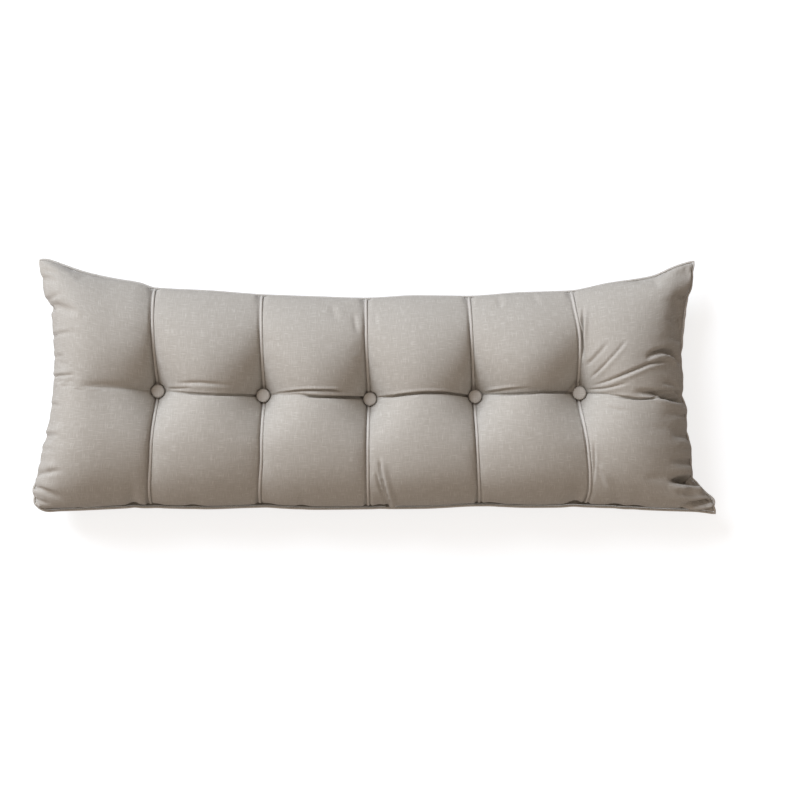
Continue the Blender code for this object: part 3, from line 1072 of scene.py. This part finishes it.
    def fill(self, points: np.ndarray, u: np.ndarray, v: np.ndarray) -> np.ndarray:
        """Fills the face by a cloth run: air presses it outward while its seams stay sewn.

        Every second row and column takes part. The cloth is a little larger than the face, most
        of all near the left and right edges, so it swells between the seams and puckers beside
        them. Each move is held under a limit m, as m tanh(d / m), and is smaller between the end
        lobes.

        Args:
            points: The face, as rows and columns.
            u: The columns' stations.
            v: The rows' heights.

        Returns:
            The moves, as rows, columns and x, y, z.
        """
        coarse = points[::2, ::2]
        at = u[::2]
        rows, columns = coarse.shape[:2]
        numbers = np.arange(rows * columns).reshape(rows, columns)
        trial = add_mesh("cloth_trial", coarse.reshape(-1, 3), grid_faces(numbers))
        sewn = np.zeros((rows, columns), bool)
        sewn[[0, -1]] = True
        sewn[:, [0, -1]] = True
        sewn |= self.channel_gap(coarse[..., 0], v[::2]) < self.channel_floor + self.sewn_width
        sewn |= self.button_gap(coarse[..., 0], coarse[..., 1]) < self.dimple_seat + self.sewn_width
        group = trial.vertex_groups.new(name="sewn")
        group.add(np.flatnonzero(sewn).tolist(), 1.0, "REPLACE")
        spare = trial.vertex_groups.new(name="spare")
        share = 1.0 - ease(0.0, self.cloth_reach, np.minimum(at, LOBES - at))
        most, width = self.cloth_rim
        rim = most * (1.0 - ease(0.0, width, 1.0 - np.abs(v[::2])))
        level = np.round(np.maximum(share, rim[:, None]) * self.cloth_steps)
        for step in range(self.cloth_steps + 1):
            spare.add(numbers[level == step].tolist(), step / self.cloth_steps, "REPLACE")
        cloth = trial.modifiers.new("fill", "CLOTH")
        cloth.collision_settings.use_collision = False
        cloth.point_cache.frame_start = 1
        cloth.point_cache.frame_end = self.cloth_frames
        for name, value in self.cloth_settings:
            setattr(cloth.settings, name, value)
        cloth.settings.vertex_group_mass = group.name
        cloth.settings.vertex_group_shrink = spare.name
        cloth.settings.shrink_min, cloth.settings.shrink_max = self.cloth_spare
        cloth.settings.effector_weights.gravity = 0.0
        for number in range(1, self.cloth_frames + 1):
            bpy.context.scene.frame_set(number)
        filled = trial.evaluated_get(bpy.context.evaluated_depsgraph_get()).data
        moved = np.zeros(rows * columns * 3, dtype=np.float32)
        filled.vertices.foreach_get("co", moved)
        bpy.context.scene.frame_set(1)
        bpy.data.objects.remove(trial)
        move = moved.reshape(rows, columns, 3).astype(float) - coarse
        length = np.linalg.norm(move, axis=-1, keepdims=True)
        move *= self.cloth_limit * np.tanh(length / self.cloth_limit) / np.maximum(length, TINY)
        middle = ease(self.cloth_reach, 2.0 * self.cloth_reach, np.minimum(at, LOBES - at))
        move *= (1.0 - (1.0 - self.cloth_calm) * middle)[:, None]
        return np.swapaxes(halfway_rows(np.swapaxes(halfway_rows(move), 0, 1)), 0, 1)

    def build(self) -> bpy.types.Object:
        """Makes the closed cover from its two panels.

        Returns:
            The cover.
        """
        u, v = self.stations()
        x, y = self.plan.place(u, v)
        height = self.face_heights(u, v, x, y)
        face = np.stack([*self.swell_rim(u, v, x, y), height], axis=-1)
        face = face + self.fill(face, u, v)
        moves = self.crease_field(face, ROW_FOLDS + FAN_CREASES + SHORT_CREASES + EDGE_PUCKERS)
        inside = np.zeros(face.shape[:2])
        inside[1:-1, 1:-1] = 1.0
        self.face = face + grid_normals(face) * (moves * inside)[..., None]
        filled = self.back_fullness * self.fullness(u, v[:, None]) ** self.back_rise
        low = self.seam_height(u, v) * np.maximum(0.0, 1.0 - filled)
        back = np.stack([x, y, low], axis=-1)
        inside = back[2:-2:2, 2:-2:2]
        numbers = np.arange(x.size).reshape(x.shape)
        inner = x.size + np.arange(inside[..., 0].size).reshape(inside.shape[:2])
        points = np.concatenate([self.face.reshape(-1, 3), inside.reshape(-1, 3)])
        cover = add_mesh("linen_cover", points, grid_faces(numbers), *stitched_back(numbers, inner))
        flat = np.stack(np.meshgrid(cloth_lengths(self.face, 1), cloth_lengths(self.face, 0)), axis=-1)
        set_uv(cover, np.concatenate([flat.reshape(-1, 2), flat[2:-2:2, 2:-2:2].reshape(-1, 2)]))
        return cover


def sweep(
    name: str, path: np.ndarray, away: np.ndarray, radius: float, sides: int, closed: bool,
    flatness: float = 1.0,
) -> bpy.types.Object:
    """Carries an ellipse along a path: each point is p + r (f cos a away + sin a across).

    Args:
        name: The piece's name.
        path: The middle line.
        away: One vector for each point of the path, roughly square to it.
        radius: The tube's radius.
        sides: How many points the circle has.
        closed: Whether the path meets itself again.
        flatness: The tube's height as a share of its width.

    Returns:
        The tube, with its weave map, and round ends where it is open.
    """
    if closed:
        along = unit_rows(np.roll(path, -1, axis=0) - np.roll(path, 1, axis=0))
    else:
        along = unit_rows(np.gradient(path, axis=0))
    away = unit_rows(away - along * np.sum(away * along, axis=-1, keepdims=True))
    across = np.cross(along, away)
    radii = np.full(len(path), radius)
    if not closed:
        turn = np.linspace(0.0, 0.5 * math.pi, END_RINGS + 1)
        start = path[0] + (np.sin(turn[:-1]) - 1.0)[:, None] * radius * along[0]
        end = path[-1] + (1.0 - np.sin(turn[-2::-1]))[:, None] * radius * along[-1]
        path = np.concatenate([start, path, end])
        ends = ((END_RINGS, END_RINGS), (0, 0))
        away, across = np.pad(away, ends, mode="edge"), np.pad(across, ends, mode="edge")
        caps = radius * np.maximum(np.sin(turn[:-1]), TIP_SHARE)
        radii = np.concatenate([caps, radii, caps[::-1]])
    angles = np.arange(sides) * 2.0 * math.pi / sides
    spread = flatness * np.cos(angles)[:, None] * away[:, None, :]
    spread = spread + np.sin(angles)[:, None] * across[:, None, :]
    points = path[:, None, :] + radii[:, None, None] * spread
    numbers = np.arange(len(path) * sides).reshape(len(path), sides)
    rows = np.concatenate([numbers, numbers[:1]]) if closed else numbers
    faces = grid_faces(rows, closed=True)
    points = points.reshape(-1, 3)
    lengths = np.concatenate([[0.0], np.cumsum(np.linalg.norm(np.diff(path, axis=0), axis=-1))])
    uv = np.stack([np.tile(angles * radius, len(path)), np.repeat(lengths, sides)], axis=-1)
    if not closed:
        points = np.concatenate([points, [path[0], path[-1]]])
        uv = np.concatenate([uv, [[0.0, 0.0], [0.0, lengths[-1]]]])
        faces = np.concatenate([faces, pole_caps(len(path), sides)])
    tube = add_mesh(name, points, faces)
    set_uv(tube, uv)
    return tube


@dataclass
class SeamPiping:
    """The narrow self-piping sewn into one channel."""

    number: int
    radius: float = 0.0027
    flatness: float = 0.66
    shift: float = 0.0012
    end_height: float = 0.005
    sides: int = 12

    def build(self, cover: Cover) -> bpy.types.Object:
        """Lays the piping on the floor of its channel.

        Args:
            cover: The cover, already built.

        Returns:
            The piping.
        """
        u, _ = cover.stations()
        column = int(np.argmin(np.abs(u - self.number)))
        floor = cover.face[:, column]
        lowest = max(floor[0, 2], floor[-1, 2]) + self.end_height
        floor = floor[floor[:, 2] > lowest]
        along = unit_rows(np.gradient(floor, axis=0))
        up = unit_rows(np.array([0.0, 0.0, 1.0]) - along * along[:, 2:])
        path = floor + up * (self.flatness * self.radius + CLEARANCE) + (self.shift, 0.0, 0.0)
        name = f"seam_piping_{self.number}"
        return sweep(name, path, up, self.radius, self.sides, closed=False, flatness=self.flatness)


@dataclass
class EdgePiping:
    """The narrow self-piping sewn into the edge seam."""

    radius: float = 0.0025
    drop: float = 0.0015
    lower_rise: float = 0.0035
    rise_range: tuple[float, float] = (4.5, 4.9)
    mitre_limit: float = 0.5
    sides: int = 12

    def build(self, cover: Cover) -> bpy.types.Object:
        """Runs the piping round the edge seam, just outside the cover. Along the lower edge it stands
        up from the middle of the fifth lobe to the right ear.

        Args:
            cover: The cover, already built.

        Returns:
            The piping.
        """
        face = cover.face
        edge = np.concatenate([face[0, :-1], face[:-1, -1], face[-1, :0:-1], face[:0:-1, 0]])
        ahead = np.roll(edge, -1, axis=0) - edge
        ahead[:, 2] = 0.0
        ahead = unit_rows(ahead)
        behind = np.roll(ahead, 1, axis=0)
        up = np.array([0.0, 0.0, 1.0])
        outward = unit_rows(np.cross(ahead, up) + np.cross(behind, up))
        facing = np.sum(outward * np.cross(ahead, up), axis=-1)
        reach = (self.radius + CLEARANCE) / np.maximum(facing, self.mitre_limit)
        u, _ = cover.stations()
        height = np.full(len(edge), -self.drop)
        rise = self.lower_rise * (ease(*self.rise_range, u) * ease(0.0, TUCK_FADE, LOBES - u))
        height[: len(u) - 1] += rise[:-1]
        path = edge + outward * reach[:, None] + up * height[:, None]
        return sweep("edge_piping", path, outward, self.radius, self.sides, closed=True)


@dataclass
class CoveredButton:
    """A self-covered button, seated on the piping of one channel. Its profile is in millimetres, as
    radius and height."""

    number: int
    profile: tuple[tuple[float, float], ...] = (
        (3.0, 0.0), (7.0, 0.0), (10.5, 0.0), (12.4, 0.7), (13.3, 2.2), (13.5, 4.2), (13.3, 6.0),
        (12.5, 7.4), (10.8, 8.5), (7.6, 9.1), (4.0, 9.3), (0.6, 9.4),
    )
    rings: int = 40
    spokes: int = 48
    cloth_shift: float = 0.07

    def build(self) -> bpy.types.Object:
        """Makes the button where its CAD node is: its profile turned about the middle.

        Returns:
            The button.
        """
        low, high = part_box(f"button_{self.number}")
        at = np.linspace(0.0, 1.0, len(self.profile))
        table = np.array(self.profile).T * MILLIMETRE
        radii, heights = smooth_through(at, table, np.linspace(0.0, 1.0, self.rings))
        angles = np.arange(self.spokes) * 2.0 * math.pi / self.spokes
        ring = np.stack([np.cos(angles), np.sin(angles)], axis=-1)
        flat = radii[:, None, None] * ring
        tall = np.broadcast_to(heights[:, None, None], (*flat.shape[:2], 1))
        points = np.concatenate([flat, tall], axis=-1).reshape(-1, 3)
        numbers = np.arange(len(points)).reshape(self.rings, self.spokes)
        faces = np.concatenate([grid_faces(numbers, closed=True), pole_caps(self.rings, self.spokes)])
        points = np.concatenate([points, [[0.0, 0.0, heights[0]], [0.0, 0.0, heights[-1]]]])
        centre = np.array([(low[0] + high[0]) / 2.0, (low[1] + high[1]) / 2.0, low[2]])
        button = add_mesh(f"covered_button_{self.number}", points + centre, faces)
        set_uv(button, points[:, :2] + self.number * self.cloth_shift)
        return button


@dataclass
class Studio:
    """A pale floor, soft light from above and the left of the picture, and the camera."""

    camera_height: float = 3.2
    camera_x: float = 0.0529
    camera_y: float = -0.0279
    seam_height: float = 0.070
    picture_width: float = 1.64
    sensor: float = 36.0
    floor_colour: str = "#b0b4b8"
    floor_glow: float = 0.74
    floor_half: float = 60.0
    floor_gap: float = 0.0002
    key_azimuth: float = 133.0
    key_elevation: float = 32.0
    key_distance: float = 20.0
    key_size: float = 8.6
    key_power: float = 4330.0
    key_colour: str = "#eef5ff"
    key_aim: float = 0.1
    sky: float = 0.485
    sky_azimuth: float = 200.0
    sky_lean: float = 0.55
    sky_colour: str = "#ffecdc"
    sky_foot: tuple[float, float] = (-0.05, -0.02)

    def add_key(self) -> None:
        """Adds the key light, a large square one that faces the cushion."""
        turn, rise = math.radians(self.key_azimuth), math.radians(self.key_elevation)
        level = math.cos(rise)
        toward = np.array([math.cos(turn) * level, math.sin(turn) * level, math.sin(rise)])
        data = bpy.data.lights.new("key", "AREA")
        data.shape = "SQUARE"
        data.size = self.key_size
        data.energy = self.key_power
        data.color = linear(self.key_colour)[:3]
        lamp = bpy.data.objects.new("key", data)
        lamp.location = (toward * self.key_distance).tolist()
        direction = Vector((0.0, 0.0, self.key_aim)) - lamp.location
        lamp.rotation_mode = "QUATERNION"
        lamp.rotation_quaternion = direction.to_track_quat("-Z", "Y")
        bpy.context.scene.collection.objects.link(lamp)

    def add_floor(self) -> None:
        """Adds the floor, which isn't part of the object."""
        corners = np.array([(-1.0, -1.0, 0.0), (1.0, -1.0, 0.0), (1.0, 1.0, 0.0), (-1.0, 1.0, 0.0)])
        corners = self.floor_half * corners - (0.0, 0.0, self.floor_gap)
        floor = add_mesh("floor", corners, np.array([[0, 1, 2, 3]]))
        # Left out of diffuse light, so its glow doesn't brighten the cushion's sides
        floor.visible_diffuse = False
        # Rolled matt paint has no highlight, so the floor stays one even pale tone
        paint = bpy.data.materials.new("matt_white_paint")
        paint.use_nodes = True
        shader = paint.node_tree.nodes["Principled BSDF"]
        shader.inputs["Base Color"].default_value = linear(self.floor_colour)
        shader.inputs["Roughness"].default_value = 0.9
        shader.inputs["Emission Color"].default_value = linear("#ffffff")
        shader.inputs["Emission Strength"].default_value = self.floor_glow
        floor.data.materials.append(paint)

    def add_camera(self) -> None:
        """Adds the camera, straight above the face as in the photograph."""
        data = bpy.data.cameras.new("camera")
        data.sensor_width = self.sensor
        data.lens = self.sensor * (self.camera_height - self.seam_height) / self.picture_width
        camera = bpy.data.objects.new("camera", data)
        camera.location = (self.camera_x, self.camera_y, self.camera_height)
        bpy.context.scene.collection.objects.link(camera)
        bpy.context.scene.camera = camera

    def add_sky(self) -> None:
        """Adds a soft sky, brightest towards one side and dark below the floor."""
        world = bpy.data.worlds.new("soft_sky")
        world.use_nodes = True
        tree = world.node_tree
        outward = add_node(tree, "ShaderNodeTexCoord", {}).outputs["Generated"]
        split = add_node(tree, "ShaderNodeSeparateXYZ", {"Vector": outward})
        low, high = self.sky_foot
        above = add_node(
            tree, "ShaderNodeMapRange", {"Value": split.outputs["Z"], "From Min": low, "From Max": high}
        )
        bright = math.radians(self.sky_azimuth)
        side = add_node(
            tree, "ShaderNodeVectorMath", {0: outward, 1: (math.cos(bright), math.sin(bright), 0.0)},
            operation="DOT_PRODUCT",
        )
        lean = add_node(
            tree, "ShaderNodeMapRange",
            {"Value": side.outputs["Value"], "From Min": -1.0, "From Max": 1.0,
             "To Min": self.sky * (1.0 - self.sky_lean), "To Max": self.sky * (1.0 + self.sky_lean)},
        )
        power = add_node(
            tree, "ShaderNodeMath", {0: above.outputs[0], 1: lean.outputs[0]}, operation="MULTIPLY"
        )
        tree.links.new(power.outputs[0], tree.nodes["Background"].inputs["Strength"])
        tree.nodes["Background"].inputs["Color"].default_value = linear(self.sky_colour)
        bpy.context.scene.world = world

    def build(self) -> None:
        """Sets up the floor, camera and lights."""
        self.add_floor()
        self.add_camera()
        self.add_key()
        self.add_sky()
        bpy.context.scene.view_settings.view_transform = "Standard"


def dress(piece: bpy.types.Object, cloth: bpy.types.Material, slot: str, *nodes: str) -> None:
    """Gives a piece its material, hangs it on the root body and hides the CAD nodes it replaces.

    Args:
        piece: The piece.
        cloth: Its material.
        slot: Not used.
        nodes: The CAD nodes it replaces.
    """
    piece.data.materials.append(cloth)
    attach(piece, "root")
    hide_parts(*nodes)
    log.info("%s: %d vertices", piece.name, len(piece.data.vertices))


def main() -> None:
    """Builds the studio and every piece of the cushion, in order."""
    logging.basicConfig(level=logging.INFO, format="%(name)s %(message)s")
    Studio().build()
    linen = LinenLook().build()
    # Painted light: the same cloth in lighter colours, for the pipings and buttons, so they look lit
    # where the lobes shade them
    painted_light_linen = LinenLook("taut_bias_cut_linen_look", "#cbc8c3", "#d6d4cf", "#bab7b0").build()
    cover = Cover(Plan())
    body = cover.build()
    dress(body, linen, "linen_cover", "cushion")
    dress(EdgePiping().build(cover), painted_light_linen, "linen_piping", "edge_piping")
    for number in range(1, LOBES):
        dress(SeamPiping(number).build(cover), painted_light_linen, "linen_piping", f"seam_piping_{number}")
        dress(CoveredButton(number).build(), painted_light_linen, "linen_button", f"button_{number}")


if __name__ == "__main__":
    main()
